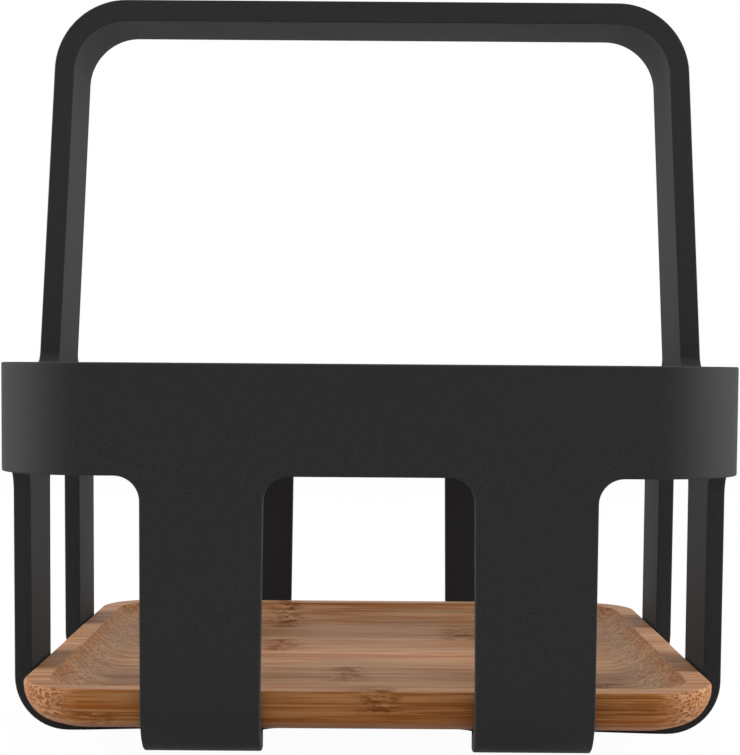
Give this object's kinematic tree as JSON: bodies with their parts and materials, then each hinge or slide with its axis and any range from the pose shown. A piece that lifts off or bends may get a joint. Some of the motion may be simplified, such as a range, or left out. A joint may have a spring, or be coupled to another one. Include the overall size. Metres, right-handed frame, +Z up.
{
  "type": "condiment caddy",
  "caption": "Square open condiment caddy: a moulded strap basket with a deep band, a carrying hoop seated in the band, and a lift-out bamboo tray.",
  "frame": {"origin": "on the table, under the middle of the base", "axes": "+Z up, the front towards -Y, +X to the right along the handle's bar"},
  "size_m": [0.18, 0.18, 0.1917],
  "materials": {
    "black_moulding": "matt black moulded plastic with a fine even texture",
    "bamboo": "laminated caramel bamboo, sanded and oiled, satin"
  },
  "bodies": {
    "frame": {"basket": "black_moulding", "carry_handle": "black_moulding"},
    "tray": {"bamboo_tray": "bamboo"}
  },
  "joints": [
    {"name": "tray_lift", "type": "slide", "parent": "frame", "child": "tray", "axis": [0, 0, 1], "range_m": [0, 0.0887]}
  ]
}
